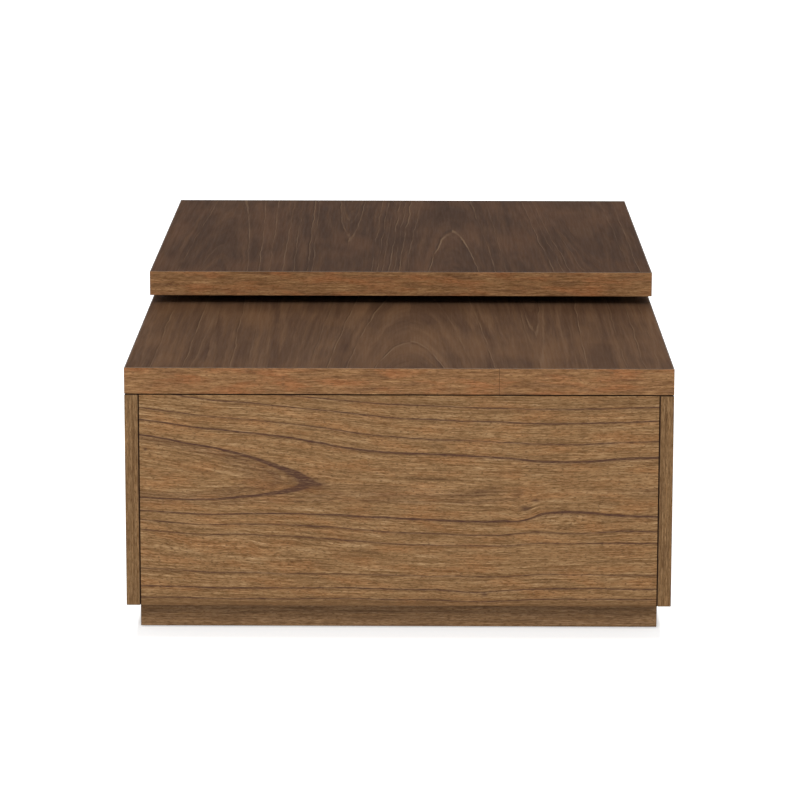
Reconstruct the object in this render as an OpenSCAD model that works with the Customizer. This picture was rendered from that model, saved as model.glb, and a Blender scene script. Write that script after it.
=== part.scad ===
// Two-tier storage coffee table with a lift-up lid, in millimetres.
// The origin is on the floor under the middle of the case. +X is the side the lid opens to,
// +Y runs from the bare end of the fixed top to the lidded end, and +Z is up.

/* [Case] */
// Width of the case and of both tops, side to side
table_w = 813; // [770:1:860]
// Length of the case and of the fixed top, end to end
table_l = 1372; // [1340:1:1430]
// Height of the side and end panels
case_h = 322; // [300:1:350]
// Thickness of the side panels
side_t = 20; // [19:0.5:24]
// Thickness of the end panels
end_t = 18; // [16:0.5:24]
// Thickness of the storage floor
floor_t = 15; // [13:0.5:20]
// Width of the shadow line round each end panel and under the top
line_w = 1.8; // [0.6:0.1:2.5]
// Depth of the shadow line
line_d = 3; // [2:0.5:5]
// Thickness of the rails that carry the lift
rail_t = 20; // [18:0.5:25]
// Height of the rails that carry the lift
rail_h = 150; // [130:1:200]
// Width and height of the cleats under the fixed top
cleat_w = 22; // [18:1:26]

/* [Plinth] */
// Height of the plinth boards
plinth_h = 37; // [34:1:60]
// Thickness of the plinth boards
plinth_t = 18; // [16:0.5:24]
// Setback of the plinth from the long sides
plinth_side_inset = 19.5; // [16:0.5:40]
// Setback of the plinth from the ends
plinth_end_inset = 22; // [16:0.5:40]
// Distance of each cross brace from the middle
brace_y = 220; // [150:1:300]
// Width of the screwed blocks in the plinth's corners
block_w = 40; // [34:1:60]
// Height of the screwed blocks
block_h = 30; // [26:1:32]
// Height of the nylon glides
glide_h = 2; // [1.5:0.5:5]
// Radius of the nylon glides
glide_r = 5; // [4:0.5:7]

/* [Fixed top] */
// Thickness of the fixed top
top_t = 39; // [36:1:45]
// Length of the fixed top left bare beside the lid
bare_l = 556; // [520:1:580]
// Thickness of the edging strips of both tops
edging_t = 2; // [1:0.5:4]
// Distance of the butt seam in the bare end's edging from the middle
seam_x = 148; // [50:1:250]
// Width of the fixed top left round the well on three sides
well_margin = 90; // [74:1:110]
// Distance of the well behind the lid's near edge
well_setback = 120; // [105:1:140]
// Width of the reveal strips round the well
strip_w = 20; // [16:1:24]
// Height of the rubber bumpers on the strips
bumper_h = 3; // [2:0.5:5]
// Radius of the rubber bumpers
bumper_r = 7; // [5:0.5:8]

/* [Lid] */
// Height of the open gap under the lid
lid_gap = 14.5; // [12:0.5:20]
// Thickness of the lid
lid_t = 39; // [36:1:45]
// Thickness of the lid's upper skin
lid_skin_t = 6; // [4:0.5:8]
// Thickness of the lid's lower skin
lid_base_t = 4; // [3:0.5:8]
// Width of the rails round the inside of the lid
lid_rail_w = 45; // [35:1:60]
// Width of the ribs that take the bracket screws
lid_rib_w = 60; // [45:1:80]

/* [Lift] */
// Distance of the rear base pivot from the middle
pivot_x = 60; // [50:1:80]
// Depth of the rear base pivot below the fixed top
pivot_drop = 24; // [22:1:30]
// Distance from the rear to the front pivot, across
link_dx = 60; // [57:1:68]
// Distance from the rear to the front pivot, upward
link_dz = 35; // [33:1:37]
// Length of the arms, pivot to pivot
arm_l = 240; // [225:1:250]
// Width of the arms
arm_w = 22; // [18:1:24]
// Thickness of the arms
arm_t = 3.5; // [2.5:0.5:5]
// Turn of the arms from closed to open
open_turn = 125; // [110:1:126]
// Thickness of the steel plates and brackets
plate_t = 3; // [2.5:0.5:5]
// Width of the brackets' flat leg under the lid
leg_w = 30; // [24:1:36]
// Thickness of the nylon washers
washer_t = 0.8; // [0.5:0.1:1.5]
// Radius of the pivot pins
pin_r = 4; // [3:0.5:5]
// Radius of the pins' heads
head_r = 8; // [6.5:0.5:9]
// Thickness of the pins' heads
head_t = 2; // [1.5:0.5:2.5]
// Radius of the pins that stop the front arms
stop_r = 4; // [3:0.5:5]
// Thickness of the lift springs' wire
wire_d = 2.5; // [1.5:0.1:3]
// Turns in each lift spring
spring_turns = 5; // [3:1:7]
// Distance of the springs' pegs from the pivot
peg_d = 45; // [35:1:60]
// Radius of the springs' pegs
peg_r = 2.5; // [2:0.5:4]

/* [Fasteners] */
// Radius of the dowels
dowel_r = 4; // [3:0.5:5]
// Length of the dowels
dowel_l = 30; // [26:1:36]
// Depth of the dowels in the side panels
dowel_side = 12; // [8:1:15]
// Radius of the wood screws
screw_r = 2; // [1.5:0.25:2.5]
// Radius of the countersunk screw heads
screw_head_r = 4; // [3.5:0.25:5]
// Length of the screws through the cleats and blocks
long_screw_l = 38; // [34:1:40]
// Length of the screws through the lid brackets
bracket_screw_l = 27; // [20:1:28]
// Length of the screws through the base plates
plate_screw_l = 18; // [14:1:20]

/* [Hidden] */
$fn = 48;

// Clearances
turn_fit = 0.05;      // round a pin that turns in its hole
loose_fit = 0.3;      // round the front lid pin, where the linkage is opened
fixed_fit = 0.03;     // round pins, dowels and screws that stay put
butt_gap = 0.05;      // glue line between boards that butt
side_play = 0.2;      // between an arm and what it slides past
spring_play = 0.4;    // round each spring
turn_gap = 0.6;       // between the turns of a spring
cut = 1;             // how far a cutter runs past the face it opens

// Levels
case_z = glide_h + plinth_h;
top_z = case_z + case_h;
deck_z = top_z + top_t;
lid_z = deck_z + lid_gap;
lid_core_z0 = lid_z + lid_base_t;
lid_core_z1 = lid_z + lid_t - lid_skin_t;

// Plan
x_out = table_w / 2;
y_out = table_l / 2;
x_in = x_out - side_t;
y_in = y_out - end_t;
x_core = x_out - edging_t;
y_core = y_out - edging_t;
lid_y0 = -y_out + bare_l;
well_x = x_out - well_margin;
well_y0 = lid_y0 + well_setback;
well_y1 = y_out - well_margin;
plinth_x = x_out - plinth_side_inset;
plinth_y = y_out - plinth_end_inset;
glide_edge = 0.5;     // how far a glide stays inside its board's inner face
glide_in = plinth_t - glide_r - glide_edge;
strip_h = lid_gap - bumper_h;

// Lift, closed: rear and front base pivots, and the lid pivots at the arms' far ends
rear_x = pivot_x;
rear_z = top_z - pivot_drop;
front_x = rear_x + link_dx;
front_z = rear_z + link_dz;
closed_turn = 180;
open_dir = closed_turn - open_turn;
stop_reach = 12;      // how far along the open front arm its stop pin stands
stop_x = front_x + stop_reach * cos(open_dir) + (arm_w / 2 + stop_r + side_play) * sin(open_dir);
stop_z = front_z + stop_reach * sin(open_dir) - (arm_w / 2 + stop_r + side_play) * cos(open_dir);

// Lift, layers counted inward from the rail's face
arm_y0 = plate_t + washer_t + side_play;
arm_y1 = arm_y0 + arm_t;
bracket_y0 = arm_y1 + side_play + washer_t;
bracket_y1 = bracket_y0 + plate_t;
leg_y = bracket_y1 + (leg_w - plate_t) / 2;
wire_y = arm_y1 + spring_play + wire_d / 2;
coil_pitch = wire_d + turn_gap;
coil_r = pin_r + spring_play + wire_d / 2;
rear_head_y = wire_y + spring_turns * coil_pitch + wire_d / 2 + spring_play;

// Base plate and lid bracket outlines
plate_rear_reach = 32;
plate_front_reach = 36;
plate_drop = 42;
plate_rise = 18;
plate_x0 = rear_x - plate_rear_reach;
plate_x1 = front_x + plate_front_reach;
plate_z0 = rear_z - plate_drop;
plate_z1 = front_z + plate_rise;
plate_corner = 8;
plate_screw_inset = 10;
washer_lip = 1;
washer_r = head_r + washer_lip;
bracket_rear_reach = 55;
bracket_front_reach = 95;
bracket_x0 = rear_x - arm_l - bracket_rear_reach;
bracket_x1 = front_x - arm_l + bracket_front_reach;
bracket_ear_r = 14;
bracket_edge_h = 10;
bracket_screw_inset = 14;
bracket_screw_n = 4;
peg_h = 5;
leg_tail = 8;

// Dowels, as [y, z] on both side panels
dowel_margin = 60;
dowel_end_n = 3;
dowel_floor_n = 7;
rail_dowel_inset = 36;
rail_mid_y = [well_y0 - rail_t / 2, well_y1 + rail_t / 2];
function spread(a, b, n) = [for (i = [0:n - 1]) a + (b - a) * i / (n - 1)];
dowel_places = concat(
    [for (s = [-1, 1], z = spread(case_z + dowel_margin, top_z - dowel_margin, dowel_end_n))
        [s * (y_out - end_t / 2), z]],
    [for (y = rail_mid_y, z = [top_z - rail_h + rail_dowel_inset, top_z - rail_dowel_inset]) [y, z]],
    [for (y = spread(-y_in + dowel_margin, y_in - dowel_margin, dowel_floor_n)) [y, case_z + floor_t / 2]]
);

// Cleats, as [first y, last y] along each side panel, and their screws
cleat_runs = [[-y_in, well_y0 - rail_t], [well_y0, well_y1]];
cleat_screw_margin = 60;
cleat_screw_n = 3;
sink_h = 2.2;
tip_h = 4;
tip_r = 0.6;

// A board from its lowest to its highest corner
module board(x0, x1, y0, y1, z0, z1)
    translate([x0, y0, z0]) cube([x1 - x0, y1 - y0, z1 - z0]);

// A round bar along Y
module bar(x, z, y0, y1, r)
    translate([x, y0, z]) rotate([-90, 0, 0]) cylinder(h = y1 - y0, r = r);

// A flat plate across Y, from an outline in X and Z
module plate(y0, y1)
    translate([0, y1, 0]) rotate([90, 0, 0]) linear_extrude(y1 - y0) children();

// The two lift units: layers run inward from the near and the far rail
module near_unit()
    translate([0, well_y0, 0]) children();

module far_unit()
    translate([0, well_y1, 0]) mirror([0, 1, 0]) children();

module both_units() {
    near_unit() children();
    far_unit() children();
}

// A countersunk wood screw up +Z, its head's face at the origin
module screw(l) {
    cylinder(h = sink_h, r1 = screw_head_r, r2 = screw_r);
    cylinder(h = l - tip_h, r = screw_r);
    translate([0, 0, l - tip_h]) cylinder(h = tip_h, r1 = screw_r, r2 = tip_r);
}

// The hole that such a screw fills
module screw_hole(l) {
    hole_r = screw_r + fixed_fit;
    translate([0, 0, -cut]) cylinder(h = cut, r = screw_head_r + fixed_fit);
    cylinder(h = sink_h, r1 = screw_head_r + fixed_fit, r2 = hole_r);
    cylinder(h = l + fixed_fit, r = hole_r);
}

// Dowels across the joints of the side panels, grown by a clearance when they cut holes
module dowels(grow)
    for (s = [-1, 1], p = dowel_places)
        translate([s * (x_in + dowel_side + grow), p[0], p[1]]) rotate([0, -90 * s, 0])
            cylinder(h = dowel_l + 2 * grow, r = dowel_r + grow);

// Puts a screw up through each cleat into the fixed top
module at_cleat_screws()
    for (s = [-1, 1], run = cleat_runs)
        for (y = spread(run[0] + cleat_screw_margin, run[1] - cleat_screw_margin, cleat_screw_n))
            translate([s * (x_in - cleat_w / 2), y, top_z - cleat_w]) children();

// Puts a screw up through each plinth block into the floor
module at_block_screws()
    for (sx = [-1, 1], sy = [-1, 1])
        translate([sx * (plinth_x - plinth_t - block_w / 2), sy * (plinth_y - plinth_t - block_w / 2),
            case_z - block_h]) children();

// Puts a screw through each corner of a base plate into its rail
module at_plate_screws()
    for (x = [plate_x0 + plate_screw_inset, plate_x1 - plate_screw_inset],
            z = [plate_z0 + plate_screw_inset, top_z - plate_screw_inset])
        translate([x, plate_t, z]) rotate([90, 0, 0]) children();

// Puts a screw up through each lid bracket's flat leg
module at_bracket_screws()
    for (x = spread(bracket_x0 + bracket_screw_inset, bracket_x1 - bracket_screw_inset, bracket_screw_n))
        translate([x, leg_y, lid_z - plate_t]) children();

module plinth_end_board(s)
    mirror([0, s < 0 ? 1 : 0, 0])
        board(-plinth_x, plinth_x, plinth_y - plinth_t, plinth_y, glide_h, case_z);

module plinth_side_board(s)
    mirror([s < 0 ? 1 : 0, 0, 0])
        board(plinth_x - plinth_t, plinth_x, -plinth_y + plinth_t, plinth_y - plinth_t, glide_h, case_z);

module plinth_near() color("#5f442c") plinth_end_board(-1);
module plinth_far() color("#5f442c") plinth_end_board(1);
module plinth_left() color("#5f442c") plinth_side_board(-1);
module plinth_right() color("#5f442c") plinth_side_board(1);

module plinth_braces()
    color("#c3a06f") for (s = [-1, 1])
        board(-plinth_x + plinth_t, plinth_x - plinth_t,
            s * brace_y - plinth_t / 2, s * brace_y + plinth_t / 2, glide_h + cut, case_z);

module plinth_blocks()
    color("#c3a06f") difference() {
        at_block_screws() translate([-block_w / 2, -block_w / 2, 0]) cube([block_w, block_w, block_h]);
        at_block_screws() screw_hole(long_screw_l);
    }

module plinth_screws() color("#b8b8b4") at_block_screws() screw(long_screw_l);

// Set towards the boards' inner faces, where they don't show
module floor_glides()
    color("#202020") {
        for (sx = [-1, 1], sy = [-1, 1])
            translate([sx * (plinth_x - block_w), sy * (plinth_y - glide_in), 0])
                cylinder(h = glide_h, r = glide_r);
        for (sx = [-1, 1])
            translate([sx * (plinth_x - glide_in), 0, 0]) cylinder(h = glide_h, r = glide_r);
    }

module storage_floor()
    color("#6a4c31") difference() {
        board(-x_in, x_in, -y_in, y_in, case_z, case_z + floor_t);
        dowels(fixed_fit);
        at_block_screws() screw_hole(long_screw_l);
    }

// The shadow line under the top runs on along its outer face and both ends
module side_panel(s)
    color("#7a5a3a") difference() {
        mirror([s < 0 ? 1 : 0, 0, 0]) {
            board(x_in, x_out, -y_out, y_out, case_z, top_z - line_w);
            board(x_in, x_out - line_d, -y_out + line_d, y_out - line_d, top_z - line_w - cut, top_z);
        }
        dowels(fixed_fit);
    }

module side_panel_left() side_panel(-1);
module side_panel_right() side_panel(1);

// Inset flush between the side panels, with a shallow shadow line at its sides and top
module end_panel(s)
    color("#7b5c3c") difference() {
        mirror([0, s > 0 ? 1 : 0, 0]) difference() {
            board(-x_in, x_in, -y_out, -y_in, case_z, top_z);
            board(-x_in - cut, -x_in + line_w, -y_out - cut, -y_out + line_d, case_z - cut, top_z + cut);
            board(x_in - line_w, x_in + cut, -y_out - cut, -y_out + line_d, case_z - cut, top_z + cut);
            board(-x_in - cut, x_in + cut, -y_out - cut, -y_out + line_d, top_z - line_w, top_z + cut);
        }
        dowels(fixed_fit);
    }

module end_panel_near() end_panel(-1);
module end_panel_far() end_panel(1);

// The board each lift unit is screwed to, its inner face level with the well's edge
module lift_rail()
    difference() {
        board(-x_in, x_in, -rail_t, 0, top_z - rail_h, top_z);
        at_plate_screws() screw_hole(plate_screw_l);
    }

module lift_rail_near()
    color("#6a4c31") difference() {
        near_unit() lift_rail();
        dowels(fixed_fit);
    }

module lift_rail_far()
    color("#6a4c31") difference() {
        far_unit() lift_rail();
        dowels(fixed_fit);
    }

module top_cleats()
    color("#c3a06f") difference() {
        for (s = [0, 1], run = cleat_runs)
            mirror([s, 0, 0]) board(x_in - cleat_w, x_in, run[0], run[1], top_z - cleat_w, top_z);
        at_cleat_screws() screw_hole(long_screw_l);
    }

module cleat_screws() color("#b8b8b4") at_cleat_screws() screw(long_screw_l);

module case_dowels() color("#d0b080") dowels(0);

// One slab over the whole case, cut through over the storage space
module fixed_top()
    color("#5a4634") difference() {
        board(-x_core, x_core, -y_core, y_core, top_z, deck_z);
        board(-well_x, well_x, well_y0, well_y1, top_z - cut, deck_z + cut);
        at_cleat_screws() screw_hole(long_screw_l);
    }

// The bare end's strip is two lengths butted at the seam
module fixed_top_edging()
    color("#785537") {
        board(-x_out, seam_x - butt_gap, -y_out, -y_core, top_z, deck_z);
        board(seam_x, x_out, -y_out, -y_core, top_z, deck_z);
        board(-x_out, x_out, y_core, y_out, top_z, deck_z);
        for (s = [0, 1])
            mirror([s, 0, 0])
                board(x_core, x_out, -y_core + butt_gap, y_core - butt_gap, top_z, deck_z);
    }

module reveal_strips()
    color("#3c2a1e") {
        board(-well_x - strip_w, well_x + strip_w, well_y0 - strip_w, well_y0, deck_z, deck_z + strip_h);
        board(-well_x - strip_w, well_x + strip_w, well_y1, well_y1 + strip_w, deck_z, deck_z + strip_h);
        for (s = [0, 1])
            mirror([s, 0, 0])
                board(well_x, well_x + strip_w, well_y0 + butt_gap, well_y1 - butt_gap,
                    deck_z, deck_z + strip_h);
    }

module lid_bumpers()
    color("#1c1c1c")
        for (s = [-1, 1],
                y = [well_y0 - strip_w / 2, (well_y0 + well_y1) / 2, well_y1 + strip_w / 2])
            translate([s * (well_x + strip_w / 2), y, deck_z + strip_h])
                cylinder(h = bumper_h, r = bumper_r);

module base_plate()
    difference() {
        plate(0, plate_t) difference() {
            polygon([
                [plate_x0 + plate_corner, plate_z0], [plate_x1 - plate_corner, plate_z0],
                [plate_x1, plate_z0 + plate_corner], [plate_x1, plate_z1 - plate_corner],
                [plate_x1 - plate_corner, plate_z1], [plate_x0 + plate_corner, plate_z1],
                [plate_x0, plate_z1 - plate_corner], [plate_x0, plate_z0 + plate_corner]
            ]);
            translate([rear_x, rear_z]) circle(r = pin_r + fixed_fit);
            translate([front_x, front_z]) circle(r = pin_r + fixed_fit);
            translate([stop_x, stop_z]) circle(r = stop_r + fixed_fit);
        }
        at_plate_screws() screw_hole(plate_screw_l);
    }

module base_plate_near() color("#26282b") near_unit() base_plate();
module base_plate_far() color("#26282b") far_unit() base_plate();

module base_plate_screws() color("#b8b8b4") both_units() at_plate_screws() screw(plate_screw_l);

// The rear pin is long enough to carry the spring between the arm and its head
module base_pivot_pins()
    color("#9a9a96") both_units() {
        bar(rear_x, rear_z, 0, rear_head_y, pin_r);
        bar(rear_x, rear_z, rear_head_y, rear_head_y + head_t, head_r);
        bar(front_x, front_z, 0, arm_y1 + side_play, pin_r);
        bar(front_x, front_z, arm_y1 + side_play, arm_y1 + side_play + head_t, head_r);
    }

module washer(x, z, y)
    plate(y, y + washer_t) translate([x, z]) difference() {
        circle(r = washer_r);
        circle(r = pin_r + fixed_fit);
    }

module base_washers()
    color("#e0ddd0") both_units() {
        washer(rear_x, rear_z, plate_t);
        washer(front_x, front_z, plate_t);
    }

module stop_pins() color("#9a9a96") both_units() bar(stop_x, stop_z, 0, arm_y1, stop_r);

// An arm as it lies closed, from its base pivot back to its lid pivot
module arm(x, z, lid_fit)
    plate(arm_y0, arm_y1) translate([x, z]) difference() {
        union() {
            circle(d = arm_w);
            translate([-arm_l, 0]) circle(d = arm_w);
            translate([-arm_l, -arm_w / 2]) square([arm_l, arm_w]);
        }
        circle(r = pin_r + turn_fit);
        translate([-arm_l, 0]) circle(r = pin_r + lid_fit);
    }

module rear_arm_near() color("#2a2d30") near_unit() arm(rear_x, rear_z, turn_fit);
module rear_arm_far() color("#2a2d30") far_unit() arm(rear_x, rear_z, turn_fit);
module front_arm_near() color("#2a2d30") near_unit() arm(front_x, front_z, loose_fit);
module front_arm_far() color("#2a2d30") far_unit() arm(front_x, front_z, loose_fit);

// Each spring's leg presses up under its peg
module spring_pegs()
    color("#9a9a96") both_units()
        bar(rear_x - peg_d, rear_z - coil_r + wire_d / 2 + fixed_fit + peg_r, arm_y1, arm_y1 + peg_h, peg_r);

// A wire along a path of points, with flat rings set square to it
wire_sides = 6;
coil_steps = 24;
function unit(v) = v / norm(v);
function path_dir(path, i) = unit(path[min(i + 1, len(path) - 1)] - path[max(i - 1, 0)]);
function wire_ring(p, dir, r) =
    let (across = unit(cross(dir, [0, 1, 0])), along = cross(across, dir))
    [for (k = [0:wire_sides - 1]) let (a = 360 * k / wire_sides) p + r * (cos(a) * across + sin(a) * along)];

module wire(path, r) {
    last = len(path) - 1;
    rings = [for (i = [0:last]) each wire_ring(path[i], path_dir(path, i), r)];
    side_faces = [for (i = [0:last - 1], k = [0:wire_sides - 1])
        let (a = i * wire_sides + k, b = i * wire_sides + (k + 1) % wire_sides)
        each [[a, a + wire_sides, b], [b, a + wire_sides, b + wire_sides]]];
    end_faces = [for (k = [1:wire_sides - 2])
        let (e = last * wire_sides)
        each [[0, k, k + 1], [e, e + k + 1, e + k]]];
    polyhedron(points = rings, faces = concat(side_faces, end_faces), convexity = 10);
}

// The leg comes in along the arm under the peg, then the coil winds inward round the pin
coil_path = concat(
    [[-peg_d - leg_tail, wire_y, -coil_r], [-peg_d / 2, wire_y, -coil_r]],
    [for (i = [0:spring_turns * coil_steps])
        let (a = 360 * i / coil_steps - 90)
        [coil_r * cos(a), wire_y + coil_pitch * i / coil_steps, coil_r * sin(a)]]
);

module lift_spring() translate([rear_x, 0, rear_z]) wire(coil_path, wire_d / 2);

module lift_spring_near() color("#8c8f92") near_unit() lift_spring();
module lift_spring_far() color("#8c8f92") far_unit() lift_spring();

// A skin or a layer over the whole lid inside its edging
module lid_sheet(z0, z1)
    board(-x_core, x_core, lid_y0 + edging_t, y_core, z0, z1);

module lid_top_skin() color("#4e3c2d") lid_sheet(lid_core_z1, lid_z + lid_t);

module lid_bottom_skin()
    color("#4e3c2d") difference() {
        lid_sheet(lid_z, lid_core_z0);
        both_units() at_bracket_screws() screw_hole(bracket_screw_l);
    }

module lid_rails()
    color("#c3a06f") {
        y0 = lid_y0 + edging_t;
        x1 = x_core - lid_rail_w - butt_gap;
        for (s = [0, 1])
            mirror([s, 0, 0]) board(x_core - lid_rail_w, x_core, y0, y_core, lid_core_z0, lid_core_z1);
        board(-x1, x1, y0, y0 + lid_rail_w, lid_core_z0, lid_core_z1);
        board(-x1, x1, y_core - lid_rail_w, y_core, lid_core_z0, lid_core_z1);
    }

// One rib over each bracket and one between them
module lid_ribs()
    color("#c3a06f") difference() {
        for (y = [well_y0 + leg_y, (well_y0 + well_y1) / 2, well_y1 - leg_y])
            board(-x_core + lid_rail_w, x_core - lid_rail_w, y - lid_rib_w / 2, y + lid_rib_w / 2,
                lid_core_z0, lid_core_z1);
        both_units() at_bracket_screws() screw_hole(bracket_screw_l);
    }

module lid_edging()
    color("#785537") {
        board(-x_out, x_out, lid_y0, lid_y0 + edging_t, lid_z, lid_z + lid_t);
        board(-x_out, x_out, y_core, y_out, lid_z, lid_z + lid_t);
        for (s = [0, 1])
            mirror([s, 0, 0])
                board(x_core, x_out, lid_y0 + edging_t + butt_gap, y_core - butt_gap,
                    lid_z, lid_z + lid_t);
    }

// A steel angle: an upright leg with an ear for each arm, and a flat leg under the lid
module lid_bracket() {
    rear_lid_x = rear_x - arm_l;
    front_lid_x = front_x - arm_l;
    difference() {
        union() {
            plate(bracket_y0, bracket_y1) difference() {
                union() {
                    polygon([
                        [bracket_x0, lid_z], [bracket_x0, lid_z - bracket_edge_h],
                        [rear_lid_x - bracket_ear_r, rear_z], [rear_lid_x, rear_z - bracket_ear_r],
                        [front_lid_x + bracket_ear_r, front_z], [bracket_x1, lid_z - bracket_edge_h],
                        [bracket_x1, lid_z]
                    ]);
                    translate([rear_lid_x, rear_z]) circle(r = bracket_ear_r);
                    translate([front_lid_x, front_z]) circle(r = bracket_ear_r);
                }
                translate([rear_lid_x, rear_z]) circle(r = pin_r + fixed_fit);
                translate([front_lid_x, front_z]) circle(r = pin_r + fixed_fit);
            }
            board(bracket_x0, bracket_x1, bracket_y0, bracket_y0 + leg_w, lid_z - plate_t, lid_z);
        }
        at_bracket_screws() screw_hole(bracket_screw_l);
    }
}

module lid_bracket_near() color("#26282b") near_unit() lid_bracket();
module lid_bracket_far() color("#26282b") far_unit() lid_bracket();

module bracket_screws() color("#b8b8b4") both_units() at_bracket_screws() screw(bracket_screw_l);

// Their heads lie between the arms and the rail, and their ends are flush in the brackets
module lid_pivot_pins()
    color("#9a9a96") both_units()
        for (p = [[rear_x, rear_z], [front_x, front_z]]) {
            bar(p[0] - arm_l, p[1], arm_y0 - side_play, bracket_y1, pin_r);
            bar(p[0] - arm_l, p[1], arm_y0 - side_play - head_t, arm_y0 - side_play, head_r);
        }

module lid_washers()
    color("#e0ddd0") both_units() {
        washer(rear_x - arm_l, rear_z, arm_y1 + side_play);
        washer(front_x - arm_l, front_z, arm_y1 + side_play);
    }

plinth_near();
plinth_far();
plinth_left();
plinth_right();
plinth_braces();
plinth_blocks();
plinth_screws();
floor_glides();
storage_floor();
side_panel_left();
side_panel_right();
end_panel_near();
end_panel_far();
lift_rail_near();
lift_rail_far();
top_cleats();
cleat_screws();
case_dowels();
fixed_top();
fixed_top_edging();
reveal_strips();
lid_bumpers();
base_plate_near();
base_plate_far();
base_plate_screws();
base_pivot_pins();
base_washers();
stop_pins();
rear_arm_near();
rear_arm_far();
spring_pegs();
lift_spring_near();
lift_spring_far();
front_arm_near();
front_arm_far();
lid_top_skin();
lid_bottom_skin();
lid_rails();
lid_ribs();
lid_edging();
lid_bracket_near();
lid_bracket_far();
bracket_screws();
lid_pivot_pins();
lid_washers();
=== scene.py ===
"""Two-tier storage coffee table: finishes, eased boards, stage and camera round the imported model."""
import math
from collections import namedtuple
from functools import partial

import bmesh
import bpy
from mathutils import Matrix, Vector


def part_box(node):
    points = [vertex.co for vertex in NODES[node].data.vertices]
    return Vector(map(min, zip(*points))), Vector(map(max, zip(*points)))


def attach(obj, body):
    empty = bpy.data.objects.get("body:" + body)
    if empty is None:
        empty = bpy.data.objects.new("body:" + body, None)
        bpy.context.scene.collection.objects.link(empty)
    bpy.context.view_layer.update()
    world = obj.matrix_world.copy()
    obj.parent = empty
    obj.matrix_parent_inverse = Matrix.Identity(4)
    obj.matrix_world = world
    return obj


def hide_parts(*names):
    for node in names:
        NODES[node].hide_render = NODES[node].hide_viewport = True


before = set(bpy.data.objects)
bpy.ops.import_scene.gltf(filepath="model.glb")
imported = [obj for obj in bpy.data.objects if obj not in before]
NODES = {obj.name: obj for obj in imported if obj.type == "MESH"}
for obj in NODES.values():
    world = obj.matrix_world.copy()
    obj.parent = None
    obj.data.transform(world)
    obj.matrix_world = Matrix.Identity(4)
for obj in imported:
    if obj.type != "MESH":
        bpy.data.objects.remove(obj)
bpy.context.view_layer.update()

bl_info = {
    "name": "Two-tier lift-top coffee table",
    "version": (1, 0, 0),
    "blender": (4, 5, 0),
    "location": "View3D > Sidebar > Table",
    "description": "Dresses the packed table: eased boards, veneers, edgings, lift hardware and stage",
    "category": "Object",
}

MM = 0.001
GLUE_LINE = 0.05 * MM
CLOSE = 0.01 * MM
X, Y, Z = (1, 0, 0), (0, 1, 0), (0, 0, 1)

MATH = "ShaderNodeMath"
VECTOR = "ShaderNodeVectorMath"
RANGE = "ShaderNodeMapRange"
NOISE = "ShaderNodeTexNoise"
MIX = "ShaderNodeMix"
CURVE = "ShaderNodeFloatCurve"
RAMP = "ShaderNodeValToRGB"


def linear(hex_colour):
    """An sRGB hex colour as linear red, green and blue."""
    parts = []
    for start in (1, 3, 5):
        level = int(hex_colour[start:start + 2], 16) / 255
        parts.append(level / 12.92 if level <= 0.04045 else ((level + 0.055) / 1.055) ** 2.4)
    return tuple(parts)


def length_property(name, description, default_mm, low_mm, high_mm):
    """A length that a user may change, kept in metres."""
    return bpy.props.FloatProperty(
        name=name, description=description, default=default_mm * MM, min=low_mm * MM,
        max=high_mm * MM, subtype="DISTANCE", unit="LENGTH", precision=5)


def colour_property(name, description, hex_colour):
    """A finish's colour that a user may change, kept linear."""
    return bpy.props.FloatVectorProperty(
        name=name, description=description, default=linear(hex_colour), size=3, min=0, max=1,
        subtype="COLOR")


def place_property(name, description, place):
    """A place in the studio that a user may change, in metres."""
    return bpy.props.FloatVectorProperty(
        name=name, description=description, default=place, size=3, subtype="TRANSLATION", unit="LENGTH")


def angle_property(name, description, degrees):
    """An angle that a user may change, kept in radians."""
    return bpy.props.FloatProperty(
        name=name, description=description, default=math.radians(degrees), subtype="ANGLE", unit="ROTATION")


def power_property(name, description, watts):
    """The power of a lamp that a user may change."""
    return bpy.props.FloatProperty(
        name=name, description=description, default=watts, min=0, max=1000, subtype="POWER", unit="POWER")


def level_property(name, description, level):
    """The strength of the studio's soft light that a user may change."""
    return bpy.props.FloatProperty(name=name, description=description, default=level, min=0, max=3)


class TableSizes(bpy.types.PropertyGroup):
    """Small sizes of the boards that the frame doesn't hold."""

    arris: length_property("Arris", "How far the boards' corners are sanded round", 0.8, 0.2, 2)
    strip_arris: length_property("Strip arris", "How round the edging's outer corners are", 0.8, 0.2, 1.5)
    seam_ease: length_property("Seam ease", "How far the ends at the edging's seam are eased", 0.45, 0.1, 1)
    line_width: length_property("Shadow line", "Width of the line round the end panels", 1.8, 0.5, 3)
    line_depth: length_property("Line depth", "Depth of the line round the end panels", 3, 1, 6)
    strip_thickness: length_property("Strip thickness", "Thickness of the tops' edging strips", 2, 1, 4)
    seam_place: length_property("Seam place", "Distance of the edging's seam from the middle", 148, 50, 250)


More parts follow.
